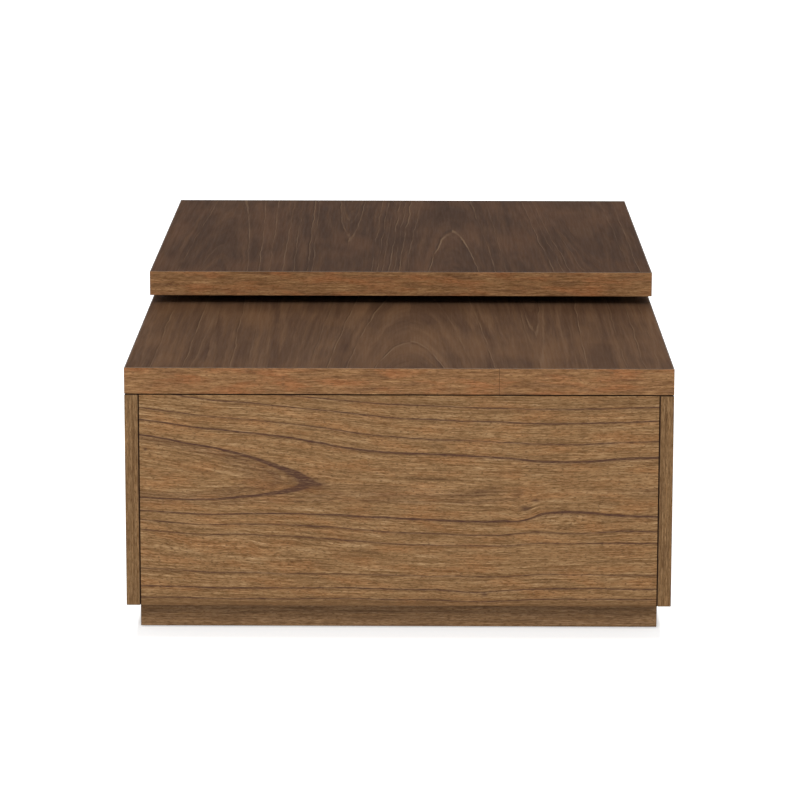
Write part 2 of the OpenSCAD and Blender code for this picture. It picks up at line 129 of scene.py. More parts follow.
class TableColours(bpy.types.PropertyGroup):
    """Colours of the table's finishes."""

    panel_wood: colour_property("Panel wood", "Main tone of the panels' veneer", "#916d46")
    panel_light: colour_property("Panel light", "Pale streaks in the panels' veneer", "#ab8860")
    panel_dark: colour_property("Panel dark", "Dark streaks in the panels' veneer", "#624528")
    panel_red: colour_property("Panel red", "Warm patches in the panels' veneer", "#9c6c41")
    ring_line: colour_property("Ring line", "Dark late wood between the rings", "#4a2e22")
    # Stain in the shadow lines, deepened as painted shade in the recess
    groove: colour_property("Groove", "Stain gathered in the shadow lines", "#2b1b12")
    # Painted shade on the boards' corners, which fall dark at the silhouettes and below; the lining's dark
    # streaks use it too
    dark_arris: colour_property("Dark arris", "Stain left on the boards' corners", "#4a3323")
    # A painted highlight on the upper corners of the tops' ends
    highlight_arris: colour_property("Light arris", "Corners rubbed lighter round the tops", "#9b7a57")
    edging_wood: colour_property("Edging wood", "Main tone of the edging strips", "#8b643f")
    edging_light: colour_property("Edging light", "Pale streaks in the edging strips", "#a37a50")
    edging_dark: colour_property("Edging dark", "Dark streaks in the edging strips", "#68472d")
    edging_red: colour_property("Edging red", "Warm patches in the edging strips", "#9a643c")
    upright_wood: colour_property("Upright wood", "Main tone of the side panels' end strips", "#80613f")
    # The lid's and the slab's tones are one veneer painted darker than the panels as shade on the tops, the
    # lid's a darker shaded copy of the slab's
    lid_wood: colour_property("Lid wood", "Main tone of the lid", "#4f3829")
    lid_light: colour_property("Lid light", "Pale streaks on the lid", "#604531")
    lid_dark: colour_property("Lid dark", "Dark streaks on the lid", "#422e22")
    lid_red: colour_property("Lid red", "Warm patches on the lid", "#694a35")
    slab_wood: colour_property("Slab wood", "Main tone of the fixed top", "#5f4634")
    slab_light: colour_property("Slab light", "Pale streaks on the fixed top", "#72553e")
    slab_dark: colour_property("Slab dark", "Dark streaks on the fixed top", "#50392b")
    slab_red: colour_property("Slab red", "Warm patches on the fixed top", "#7c5b40")
    # Painted sheen: the pale lines stand in for the light that the lines of pores catch
    top_sheen_line: colour_property("Top line", "Pale lines between the rings on both tops", "#846950")
    top_pore: colour_property("Top pore", "Dark sides of the lines on both tops", "#38271c")
    plinth_wood: colour_property("Plinth wood", "Main tone of the plinth's veneer", "#886848")
    lining: colour_property("Lining", "Sealed board inside the storage", "#6b4c34")
    softwood: colour_property("Softwood", "Bare planed framing", "#c8a273")
    pine_light: colour_property("Pine light", "Early wood in the framing", "#d8b98e")
    pine_dark: colour_property("Pine dark", "Late wood in the framing", "#ab7f4e")
    dark_strip: colour_property("Dark strip", "Stained strips in the gap under the lid", "#7a5636")
    powder_coat: colour_property("Powder coat", "Plates, arms and brackets of the lift", "#27292c")
    zinc: colour_property("Zinc", "Plated pins and screws", "#aeaea8")
    spring_wire: colour_property("Spring wire", "Oiled wire of the lift springs", "#8f9194")
    nylon: colour_property("Nylon", "Moulded washers", "#d9d5c6")
    rubber: colour_property("Rubber", "Bumpers and glides", "#1d1d1e")


class TableStage(bpy.types.PropertyGroup):
    """Where the camera stands and how strong the lights are."""

    camera_place: place_property("Camera place", "Where the camera stands", (0.0234, -6.1157, 1.4285))
    camera_pitch: angle_property("Camera pitch", "How far the camera looks down", 11.208)
    camera_yaw: angle_property("Camera yaw", "How far the camera looks to the left", 0.233)
    camera_roll: angle_property("Camera roll", "How far the camera leans", 0.122)
    lens: bpy.props.FloatProperty(
        name="Lens", description="Focal length on a 36 mm sensor", default=168.57, min=50, max=300,
        subtype="DISTANCE_CAMERA", unit="CAMERA")
    front_place: place_property("Front light", "Where the front softbox stands", (-0.8, -4.7, 4.1))
    front_power: power_property("Front power", "Power of the front softbox", 150)
    back_place: place_property("Back light", "Where the back softbox stands", (0.8, 4.7, 4.1))
    back_power: power_property("Back power", "Power of the back softbox", 60)
    horizon_level: level_property("Horizon level", "Soft light from the studio's walls", 1.3)
    ceiling_level: level_property("Ceiling level", "Soft light from overhead", 0.5)


def live_input(node, name):
    """A node's input by its number, or by its name among those that are in use."""
    if isinstance(name, int):
        return node.inputs[name]
    return next(socket for socket in node.inputs if socket.name == name and socket.enabled)


def link(tree, source, node, name):
    """Link a socket, or a node's first live output, to an input."""
    if isinstance(source, bpy.types.Node):
        source = next(socket for socket in source.outputs if socket.enabled)
    tree.links.new(source, live_input(node, name))


def draw_curve(mapping, points):
    """Lead a curve through points, level beyond the first and the last."""
    curve = mapping.curves[0]
    for point, place in zip((curve.points[0], curve.points[-1]), (points[0], points[-1])):
        point.location = place
    for place in points[1:-1]:
        curve.points.new(*place)
    for point in curve.points:
        point.handle_type = "AUTO_CLAMPED"
    mapping.extend = "HORIZONTAL"
    mapping.update()


def draw_ramp(ramp, stops):
    """Give a colour ramp its stops, each a place and a linear colour."""
    ramp.elements[0].position, ramp.elements[-1].position = stops[0][0], stops[-1][0]
    for place, _ in stops[1:-1]:
        ramp.elements.new(place)
    for element, (_, colour) in zip(ramp.elements, stops):
        element.color = (*colour, 1)


def add(tree, kind, settings=None, links=None):
    """Add one node, set its properties and inputs, and link what feeds it."""
    node = tree.nodes.new(kind)
    for name, value in (settings or {}).items():
        if name == "points":
            draw_curve(node.mapping, value)
        elif name == "stops":
            draw_ramp(node.color_ramp, value)
        elif hasattr(node, str(name)):
            setattr(node, name, value)
        else:
            live_input(node, name).default_value = value
    for name, source in (links or {}).items():
        link(tree, source, node, name)
    return node


def emptied_tree(owner):
    """The node tree of a material or a world, with nothing in it."""
    owner.use_nodes = True
    owner.node_tree.nodes.clear()
    return owner.node_tree


def put_in_scene(name, data):
    """A new object in the scene, from a mesh, a lamp or a camera."""
    thing = bpy.data.objects.new(name, data)
    bpy.context.collection.objects.link(thing)
    return thing


def new_finish(name, roughness, specular=0.5, metallic=0.0):
    """A material with only its shader, its node tree and that shader."""
    material = bpy.data.materials.new(name)
    tree = emptied_tree(material)
    shader = add(tree, "ShaderNodeBsdfPrincipled",
                 {"Roughness": roughness, "Specular IOR Level": specular, "Metallic": metallic})
    add(tree, "ShaderNodeOutputMaterial", links={"Surface": shader})
    return material, tree, shader


def place_along(tree, direction, shift=0.0):
    """How far a point lies along a direction, in mm, counted from a shift."""
    here = add(tree, "ShaderNodeTexCoord")
    reach = tuple(part / MM for part in direction)
    dot = add(tree, VECTOR, {"operation": "DOT_PRODUCT", 1: reach}, {0: here.outputs["Object"]})
    return add(tree, MATH, {"operation": "ADD", 1: shift}, {0: dot})


def drawn_out_noise(tree, along, across, length, width, seed, detail=2.0, rough=0.5):
    """Noise whose patches are so long along the grain and so wide across it, in mm."""
    place = add(tree, "ShaderNodeCombineXYZ", {"Z": seed}, {"X": along, "Y": across})
    scaled = add(tree, VECTOR, {"operation": "MULTIPLY", 1: (1 / length, 1 / width, 1)}, {0: place})
    return add(tree, NOISE, {"Scale": 1.0, "Detail": detail, "Roughness": rough}, {"Vector": scaled})


def drawn_profile(tree, along, points):
    """A height in mm over a length in mm, through given points."""
    lengths = [length for length, _ in points]
    heights = [height for _, height in points]
    low, high = min(heights), max(heights)
    span = lengths[-1] - lengths[0]
    share = add(tree, RANGE, {"From Min": lengths[0], "From Max": lengths[-1]}, {"Value": along})
    unit_points = [((length - lengths[0]) / span, (height - low) / (high - low)) for length, height in points]
    curve = add(tree, CURVE, {"points": unit_points}, {"Value": share})
    return add(tree, RANGE, {"To Min": low, "To Max": high}, {"Value": curve})


def ring_lines(tree, heart, lines, width, profile):
    """The lines between the rings, each at its distance from the heart, with its strength."""
    total = None
    for distance, strength in lines:
        share = add(tree, MATH, {"operation": "MULTIPLY_ADD", 1: 1 / width, 2: 0.5 - distance / width},
                    {0: heart})
        line = add(tree, CURVE, {"points": profile}, {"Value": share})
        links = {0: line, 2: total} if total else {0: line}
        total = add(tree, MATH, {"operation": "MULTIPLY_ADD", 1: strength, 2: 0.0}, links)
    return total


def layered(tree, colour, layers):
    """A colour with others laid over it in order, each by its share."""
    for share, tone in layers:
        colour = add(tree, MIX, {"data_type": "RGBA", "B": (*tone, 1)}, {"Factor": share, "A": colour})
    return colour


Tones = namedtuple("Tones", "dark middle light warm")

# How a veneer's figure is drawn, in mm: its streaks, patches, fibres and fine rings by length and width,
# how far the fibres and the rings swing in tone, how much its warm patches, pores and flecks show, its
# relief, and how rough it is left and how strongly it mirrors
Grain = namedtuple(
    "Grain", "streak patch fibre ring fibre_swing ring_swing warmth pores flecks relief roughness specular")

OPEN_GRAIN = Grain(
    streak=(90, 4.5), patch=(75, 17), fibre=(14, 1.5), ring=(110, 2.4), fibre_swing=0.5, ring_swing=0.26,
    warmth=0.55, pores=0.85, flecks=0.45, relief=0.12, roughness=0.55, specular=0.2)
EDGE_GRAIN = Grain(
    streak=(60, 7), patch=(70, 16), fibre=(14, 1.5), ring=(50, 3), fibre_swing=0.45, ring_swing=0.25,
    warmth=0.85, pores=0.75, flecks=0.45, relief=0.12, roughness=0.55, specular=0.2)
FILLED_GRAIN = Grain(
    streak=(380, 13), patch=(340, 90), fibre=(90, 3.5), ring=(450, 7), fibre_swing=0.05, ring_swing=0.07,
    warmth=0.5, pores=0, flecks=0, relief=0.02, roughness=0.5, specular=0.003)
LINING_GRAIN = Grain(
    streak=(260, 9), patch=(200, 50), fibre=(30, 1.6), ring=(300, 5), fibre_swing=0.18, ring_swing=0.14,
    warmth=0.4, pores=0.3, flecks=0, relief=0.04, roughness=0.6, specular=0.2)
SOFT_GRAIN = Grain(
    streak=(420, 12), patch=(300, 60), fibre=(60, 1.6), ring=(600, 4.5), fibre_swing=0.1, ring_swing=0.2,
    warmth=0.4, pores=0, flecks=0, relief=0.05, roughness=0.7, specular=0.2)

# Where in the streaks' noise the dark, the middle and the light tone lie
TONE_PLACES = (0.27, 0.5, 0.73)

# Pores and flecks in mm, by length and width
DASH = (6, 1.5)

# The values that nearly all of a noise lies between, and those between which a patch or a dash fades in
NOISE_REACH = {"From Min": 0.3, "From Max": 0.7}
PATCH_REACH = {"From Min": 0.47, "From Max": 0.66}
DASH_REACH = {"From Min": 0.57, "From Max": 0.7}

# How much thick stain takes from red, green and blue
STAIN_TAKES = (1, 1.2, 1.5)

# What each noise adds to its finish's own seed
PATCH_SEED, FIBRE_SEED, RING_SEED, FLECK_SEED, WEAR_SEED, PORE_SEED = 7, 13, 17, 19, 21, 29


def veneer_colour(tree, along, across, run, tones, grain, seed):
    """Streaks, patches, fibres, fine rings and pores of one leaf of veneer, and its fibres' height.

    The streaks and rings run with the leaf's figure. The fibres and the pores, which the cutter opened
    as short dashes, are drawn about twice their real width, so that they show. Where the fibres and
    rings are darker, the stain lies thicker.
    """
    streaks = drawn_out_noise(tree, along, run, *grain.streak, seed, detail=4, rough=0.6)
    colour = add(tree, RAMP, {"stops": list(zip(TONE_PLACES, tones))}, {"Fac": streaks})
    patches = drawn_out_noise(tree, along, across, *grain.patch, seed + PATCH_SEED, detail=3)
    warmth = add(tree, RANGE, {**PATCH_REACH, "To Max": grain.warmth}, {"Value": patches})
    colour = layered(tree, colour, [(warmth, tones.warm)])

    fibres = drawn_out_noise(tree, along, across, *grain.fibre, seed + FIBRE_SEED, detail=3, rough=0.65)
    rings = drawn_out_noise(tree, along, run, *grain.ring, seed + RING_SEED, detail=2)
    for noise, swing in ((fibres, grain.fibre_swing), (rings, grain.ring_swing)):
        level = add(tree, RANGE, {**NOISE_REACH, "To Min": -1.0, "To Max": 1.0}, {"Value": noise})
        takes = tuple(swing * share for share in STAIN_TAKES)
        depth = add(tree, VECTOR, {"operation": "MULTIPLY_ADD", 1: takes, 2: (1, 1, 1)}, {0: level})
        colour = add(tree, VECTOR, {"operation": "MULTIPLY"}, {0: colour, 1: depth})

    layers = []
    for tone, most, shift in ((tones.light, grain.flecks, FLECK_SEED), (tones.dark, grain.pores, PORE_SEED)):
        if most:
            dashes = drawn_out_noise(tree, along, across, *DASH, seed + shift, detail=1)
            share = add(tree, RANGE, {**DASH_REACH, "To Max": most}, {"Value": dashes})
            layers.append((share, tone))
    return layered(tree, colour, layers), fibres


# How much duller a veneer's hollows are than its middle, and its fibres glossier
GLOSS_SWING = 0.06

# How strongly fibres and mottled surfaces show their relief
FIBRE_BUMP = 0.5
MOTTLE_BUMP = 0.6


def wood_relief(tree, height, grain, shader):
    """Let the fibres stand in faint relief, with the hollows between them a little duller."""
    bump = add(tree, "ShaderNodeBump", {"Strength": FIBRE_BUMP, "Distance": grain.relief * MM},
               {"Height": height})
    link(tree, bump, shader, "Normal")
    middle = shader.inputs["Roughness"].default_value
    gloss = {**NOISE_REACH, "To Min": middle + GLOSS_SWING, "To Max": middle - GLOSS_SWING}
    dulled = add(tree, RANGE, gloss, {"Value": height})
    link(tree, dulled, shader, "Roughness")


# The figure of one crown-cut leaf, drawn in mm: how its lines tilt along it and how that fades across it, the
# places where they bend, how far it opens round its heart, where that lies, and its lines and broad dark
# bands, each by distance and strength, and its pin knots
Crown = namedtuple("Crown", "tilt fade bends opening heart lines bands knots")

# A place where the lines bend, in mm: along and down the leaf, how far it reaches both ways, and its drop
Bend = namedtuple("Bend", "along down reach_along reach_down drop")

# A pin knot in mm: along and down the leaf, and how far it reaches both ways
Knot = namedtuple("Knot", "along down reach_along reach_down")

# How dark a pin knot's middle is
KNOT_DARK = 0.75

END_CROWN = Crown(
    tilt=[(-384, -30), (-333, -25), (-288, -20), (-232, -14.5), (-171, -8.5), (-50, -3.5), (31, 0), (100, 2),
          (153, 3), (230, 2), (385, 0)],
    fade=[(-10, 1.0), (150, 1.0), (175, 1.13), (200, 1.2), (235, 0.9), (265, 0.66), (300, 0.4), (325, 0.35)],
    bends=[Bend(-160, 52, 165, 88, -11), Bend(-180, 205, 150, 65, -7), Bend(115, 185, 60, 50, 2),
           Bend(260, 180, 70, 28, -4), Bend(255, 205, 90, 28, 5), Bend(182, 178, 34, 34, 6),
           Bend(110, 300, 60, 30, 4)],
    opening=[(-384, 37), (-292, 44.5), (-232, 52), (-199, 55.5), (-171, 58), (-150, 59.4), (-132, 60.8),
             (-114, 61.3), (-88, 62.6), (31, 63), (153, 65), (230, 70), (385, 66.5)],
    heart=140,
    lines=[(-138.5, 1.1), (-120.6, 1.3), (-96.7, 1.0), (-80.6, 1.5), (-60.3, 1.9), (-57.3, 0.4),
           (-55.4, 0.35), (-53.2, 0.3), (53.2, 0.3), (55.4, 0.35), (57.3, 0.4), (60.3, 1.9), (64.6, 0.35),
           (67.0, 0.3), (80.1, 1.6), (94.6, 1.0), (108.2, 1.0), (149.5, 0.9), (168.9, 1.3), (183.9, 1.1)],
    # The broad bands darken the panel towards its bottom edge, and faintly at its top
    bands=[(203, 0.7), (-149, 0.2)],
    knots=[Knot(188, 172, 13, 7), Knot(203, 160, 11, 4), Knot(128, 304, 9, 5), Knot(-376, 84, 5, 4)],
)
SIDE_CROWN = Crown(
    tilt=[(-686, -14), (-420, 8), (-150, -6), (120, 10), (380, -5), (686, 12)],
    fade=[(0, 0.5), (90, 0.9), (180, 1.0), (322, 0.6)],
    bends=[Bend(-430, 175, 120, 90, 6), Bend(-330, 230, 90, 70, -6), Bend(-250, 205, 38, 38, 7),
           Bend(330, 90, 140, 70, -7), Bend(420, 230, 110, 60, 6)],
    opening=[(-686, 82), (-470, 62), (-330, 56), (-60, 40), (220, 46), (430, 60.5), (686, 78)],
    heart=165,
    lines=[(-150, 0.7), (-128, 0.8), (-104, 0.6), (-90, 0.9), (-60, 1.3), (-44, 0.5), (44, 0.5), (60, 1.3),
           (86, 0.9), (99, 0.7), (121, 0.8), (140, 0.6)],
    # The broad band darkens the panel towards its bottom edge
    bands=[(178, 0.5)],
    knots=[Knot(-252, 212, 8, 4), Knot(360, 118, 6, 3)],
)

# How far the streaks follow the sum of a point's two distances: across the grain and from the heart
FIGURE_SHARE = 0.62

# How wide and how high the lines' small waves are in mm
WAVE = (60, 40)
WAVE_HEIGHT = 4.0
WAVE_SEED = 3

# A dark line and a broad band in mm, with how dark each is across its width
LINE_WIDTH = 9
LINE_PROFILE = [(0, 0), (0.34, 0.04), (0.43, 0.7), (0.5, 1), (0.56, 0.7), (0.7, 0.15), (1, 0)]
BAND_WIDTH = 46
BAND_PROFILE = [(0, 0), (0.5, 1), (1, 0)]

# The length and width in mm of the patches where a line wears thin, how strong it stays there, and how
# far the fibres break it
LINE_WEAR = (45, 30)
WORN_LINE = {"From Min": 0.35, "From Max": 0.6, "To Min": 0.7, "To Max": 1.0}
BROKEN_LINE = {"From Min": 0.36, "From Max": 0.6, "To Min": 1.1, "To Max": 0.7}


def oval(tree, along, down, spot, height):
    """A height in the middle of a bend or a knot, which fades smoothly to nothing at its oval edge."""
    here = add(tree, "ShaderNodeCombineXYZ", links={"X": along, "Y": down})
    share = (1 / spot.reach_along, 1 / spot.reach_down, 0)
    centre = (-spot.along / spot.reach_along, -spot.down / spot.reach_down, 0)
    place = add(tree, VECTOR, {"operation": "MULTIPLY_ADD", 1: share, 2: centre}, {0: here})
    away = add(tree, VECTOR, {"operation": "LENGTH"}, {0: place})
    fade = {"interpolation_type": "SMOOTHSTEP", "To Min": height, "To Max": 0.0}
    return add(tree, RANGE, fade, {"Value": away})


def crown_grain(tree, along, down, crown):
    """Where a point lies across the grain of a crown-cut leaf, and its distance from the leaf's heart.

    Both are counted from the heart, minus above it.
    """
    tilt = drawn_profile(tree, along, crown.tilt)
    fade = drawn_profile(tree, down, crown.fade)
    lift = add(tree, MATH, {"operation": "MULTIPLY"}, {0: tilt, 1: fade})
    level = add(tree, MATH, {"operation": "SUBTRACT"}, {0: down, 1: lift})
    wave = drawn_out_noise(tree, along, down, *WAVE, WAVE_SEED)
    ripple = add(tree, MATH, {"operation": "MULTIPLY_ADD", 1: WAVE_HEIGHT, 2: -WAVE_HEIGHT / 2 - crown.heart},
                 {0: wave})
    offset = add(tree, MATH, {"operation": "ADD"}, {0: level, 1: ripple})
    for bend in crown.bends:
        drop = oval(tree, along, down, bend, bend.drop)
        offset = add(tree, MATH, {"operation": "SUBTRACT"}, {0: offset, 1: drop})
    opening = drawn_profile(tree, along, crown.opening)
    opening_square = add(tree, MATH, {"operation": "POWER", 1: 2}, {0: opening})
    square = add(tree, MATH, {"operation": "MULTIPLY_ADD"}, {0: offset, 1: offset, 2: opening_square})
    distance = add(tree, MATH, {"operation": "SQRT"}, {0: square})
    side = add(tree, MATH, {"operation": "SIGN"}, {0: offset})
    return offset, add(tree, MATH, {"operation": "MULTIPLY"}, {0: distance, 1: side})


def crown_veneer(colours, tones, crown, direction, seed, *, name):
    """Crown-cut hardwood veneer, stained brown and lacquered satin, with its grain lying level.

    The saw cut across the rings, so their dark lines run along the board and close in a pointed arch.
    """
    material, tree, shader = new_finish(name, OPEN_GRAIN.roughness, OPEN_GRAIN.specular)
    along = place_along(tree, direction)
    down = place_along(tree, (0, 0, -1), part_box("end_panel_near")[1].z / MM)
    across, heart = crown_grain(tree, along, down, crown)
    figure = add(tree, MATH, {"operation": "ADD"}, {0: across, 1: heart})
    run = add(tree, MATH, {"operation": "MULTIPLY", 1: FIGURE_SHARE}, {0: figure})
    colour, fibres = veneer_colour(tree, along, across, run, tones, OPEN_GRAIN, seed)
    bands = ring_lines(tree, heart, crown.bands, BAND_WIDTH, BAND_PROFILE)
    lines = ring_lines(tree, heart, crown.lines, LINE_WIDTH, LINE_PROFILE)
    wear = drawn_out_noise(tree, along, heart, *LINE_WEAR, seed + WEAR_SEED)
    strength = add(tree, RANGE, WORN_LINE, {"Value": wear})
    broken = add(tree, RANGE, BROKEN_LINE, {"Value": fibres})
    drawn = add(tree, MATH, {"operation": "MULTIPLY", "use_clamp": True}, {0: lines, 1: strength})
    share = add(tree, MATH, {"operation": "MULTIPLY", "use_clamp": True}, {0: drawn, 1: broken})
    layers = [(bands, tones.dark), (share, colours.ring_line)]
    for knot in crown.knots:
        layers.append((oval(tree, along, down, knot, KNOT_DARK), colours.ring_line))
    link(tree, layered(tree, colour, layers), shader, "Base Color")
    wood_relief(tree, fibres, OPEN_GRAIN, shader)
    return material


# One leaf of the tops' veneer in mm: its sides, its heart, how fast its arches narrow towards the far
# end and where along the top they are counted from, and its lines by distance and strength
Leaf = namedtuple("Leaf", "left right heart narrowing start lines")

LID_LEAVES = (
    Leaf(-410, -203, -300, 3.0, -130, [(-62, 0.5), (-30, 0.4), (50, 0.8), (70, 0.9), (87, 0.7)]),
    Leaf(-203, -62, -91, -1.2, 590, [(-106, 0.7), (-90, 0.7), (-68, 1.0), (-61, 0.6), (-20.5, 0.9),
                                     (-14, 0.4), (14, 0.3), (20.5, 0.9)]),
    Leaf(-62, 196, 85, 3.9, -118, [(-134, 0.6), (-124, 0.7), (-115, 0.6), (-105, 0.9), (-97, 0.5), (-89, 0.9),
                                   (-76, 0.5), (-40, 1.3), (40, 1.3), (67, 0.9), (86, 0.4)]),
    Leaf(196, 330, 354, -9.5, -82, [(-108, 0.9), (-94, 0.5), (-82, 0.8), (-60, 0.5)]),
    Leaf(330, 410, 354, 0.4, -80, [(0.5, 0.8), (17, 0.4), (32, 0.8)]),
)
SLAB_LEAVES = (
    Leaf(-410, -180, -290, 0.6, -686, [(-78, 0.8), (-31, 0.9), (-18, 0.3), (40, 0.9), (66, 0.4)]),
    Leaf(-180, 175, 15, 12.0, -686, [(-150, 0.4), (-122, 0.9), (-94, 0.9), (-51, 1.2), (51, 1.2), (94, 0.4),
                                     (128, 0.8)]),
    Leaf(175, 240, 209, -0.8, -192, [(-18, 0.4), (-12, 0.9), (12, 0.9), (18, 0.4)]),
    Leaf(240, 410, 300, 0.3, -200, [(-19, 0.9), (34, 0.5), (62, 0.7), (84, 0.4)]),
)

# How long and how wide the tops' waves are, and how far they swing, in mm
TOP_WAVE = (130, 40)
TOP_WAVE_HEIGHT = 10.0

# What a leaf's place among the others adds to its noise, so that the leaves differ
LEAF_STEP = 500.0

# A line of the tops in mm, with its dark side and its pale side, a painted sheen, by how far it leaves the
# middle
TOP_LINE_WIDTH = 10
TOP_LINE_PROFILE = [(0, 0.5), (0.26, 0.46), (0.4, 0.1), (0.5, 0.5), (0.58, 1), (0.68, 0.54), (1, 0.5)]

# How strongly its dark side, counted as minus, and its pale side of painted sheen show, and where it wears
# thin
DARK_SIDE, PALE_SHEEN_SIDE = -1.1, 1.4
TOP_LINE_WEAR = (120, 25)
WORN_TOP_LINE = {"From Min": 0.38, "From Max": 0.62, "To Min": 0.15, "To Max": 1.0}

# The upward parts of a face's normal between which the tops' veneer gives way to bare lining
SIDE_TURN = {"From Min": 0.6, "From Max": 0.4}


def leaf_heart(tree, along, across, leaf, seed):
    """Distance from the heart of a leaf whose arches narrow along the top, minus left of it."""
    wave = drawn_out_noise(tree, along, across, *TOP_WAVE, seed)
    swing = {"operation": "MULTIPLY_ADD", 1: TOP_WAVE_HEIGHT, 2: -TOP_WAVE_HEIGHT / 2 - leaf.heart}
    waved = add(tree, MATH, swing, {0: wave})
    offset = add(tree, MATH, {"operation": "ADD"}, {0: across, 1: waved})
    narrowing = {"operation": "MULTIPLY_ADD", 1: leaf.narrowing, 2: -leaf.narrowing * leaf.start}
    climb = add(tree, MATH, narrowing, {0: along})
    square = add(tree, MATH, {"operation": "MULTIPLY_ADD"}, {0: offset, 1: offset, 2: climb})
    above = add(tree, MATH, {"operation": "MAXIMUM", 1: 0.0}, {0: square})
    reach = add(tree, MATH, {"operation": "SQRT"}, {0: above})
    side = add(tree, MATH, {"operation": "SIGN"}, {0: offset})
    return add(tree, MATH, {"operation": "MULTIPLY"}, {0: reach, 1: side})


def added_inside(tree, total, part, shift, inside):
    """A total with a shifted part added to it at the points that lie inside a leaf."""
    shifted = add(tree, MATH, {"operation": "ADD", 1: shift}, {0: part})
    links = {0: shifted, 1: inside, 2: total} if total else {0: shifted, 1: inside}
    return add(tree, MATH, {"operation": "MULTIPLY_ADD", 2: 0.0}, links)


def top_veneer(colours, tones, leaves, seed, *, name):
    """Veneer in several leaves, filled and rubbed down matt, with its grain along the table, painted dark as
    shade on the tops.

    Each line between the rings shows a dark side and a pale side, the pale side a painted sheen where its
    pores catch the light.
    """
    material, tree, shader = new_finish(name, FILLED_GRAIN.roughness, FILLED_GRAIN.specular)
    along = place_along(tree, Y)
    across = place_along(tree, X)
    total_heart, total_line = None, None
    for number, leaf in enumerate(leaves):
        heart = leaf_heart(tree, along, across, leaf, seed + number)
        lines = ring_lines(tree, heart, leaf.lines, TOP_LINE_WIDTH, TOP_LINE_PROFILE)
        level = TOP_LINE_PROFILE[0][1] * sum(strength for _, strength in leaf.lines)
        inside = add(tree, MATH, {"operation": "COMPARE", 1: (leaf.left + leaf.right) / 2,
                                  2: (leaf.right - leaf.left) / 2}, {0: across})
        total_heart = added_inside(tree, total_heart, heart, LEAF_STEP * number, inside)
        total_line = added_inside(tree, total_line, lines, -level, inside)
    colour, fibres = veneer_colour(tree, along, across, total_heart, tones, FILLED_GRAIN, seed)
    wear = drawn_out_noise(tree, along, across, *TOP_LINE_WEAR, seed + WEAR_SEED)
    strength = add(tree, RANGE, WORN_TOP_LINE, {"Value": wear})
    layers = []
    for tone, most in ((colours.top_pore, DARK_SIDE), (colours.top_sheen_line, PALE_SHEEN_SIDE)):
        shown = add(tree, RANGE, {"From Max": 1 / most}, {"Value": total_line})
        share = add(tree, MATH, {"operation": "MULTIPLY", "use_clamp": True}, {0: shown, 1: strength})
        layers.append((share, tone))
    surface = add(tree, "ShaderNodeNewGeometry")
    upward = add(tree, VECTOR, {"operation": "DOT_PRODUCT", 1: Z}, {0: surface.outputs["Normal"]})
    layers.append((add(tree, RANGE, SIDE_TURN, {"Value": upward}), colours.lining))
    link(tree, layered(tree, colour, layers), shader, "Base Color")
    wood_relief(tree, fibres, FILLED_GRAIN, shader)
    return material


def straight_wood(tones, along, across, seed, grain=OPEN_GRAIN, *, name):
    """Straight-grained wood without drawn rings: stained and lacquered satin, sealed, or bare."""
    material, tree, shader = new_finish(name, grain.roughness, grain.specular)
    run = place_along(tree, along)
    cross = place_along(tree, across)
    colour, fibres = veneer_colour(tree, run, cross, cross, tones, grain, seed)
    link(tree, colour, shader, "Base Color")
    wood_relief(tree, fibres, grain, shader)
    return material


def mottled_finish(colour, surface, spot, relief=0.0, metallic=0.0, specular=0.5, variation=0.1, *, name):
    """A plain surface that its making left faintly mottled, in tone, in gloss and, if it has any, in relief.

    The surface is its roughness where it shines most and where it shines least. Spots and relief are in mm.
    """
    material, tree, shader = new_finish(name, surface[0], specular, metallic)
    here = add(tree, "ShaderNodeTexCoord")
    spots = {"Scale": 1 / (spot * MM), "Detail": 3.0}
    mottle = add(tree, NOISE, spots, {"Vector": here.outputs["Object"]})
    swing = {**NOISE_REACH, "To Min": 1 - variation, "To Max": 1 + variation}
    level = add(tree, RANGE, swing, {"Value": mottle})
    tone = add(tree, VECTOR, {"operation": "SCALE", 0: colour}, {"Scale": level})
    link(tree, tone, shader, "Base Color")
    gloss = add(tree, RANGE, {**NOISE_REACH, "To Min": surface[0], "To Max": surface[1]}, {"Value": mottle})
    link(tree, gloss, shader, "Roughness")
    if relief:
        bump = add(tree, "ShaderNodeBump", {"Strength": MOTTLE_BUMP, "Distance": relief * MM},
                   {"Height": mottle})
        link(tree, bump, shader, "Normal")
    return material


# Directions across a board's grain and aslant, so that its streaks show on all its long faces
ASLANT_YZ = (0, 0.7, 0.7)
ASLANT_XZ = (0.7, 0, 0.7)
ASLANT_XY = (0.7, 0.7, 0)


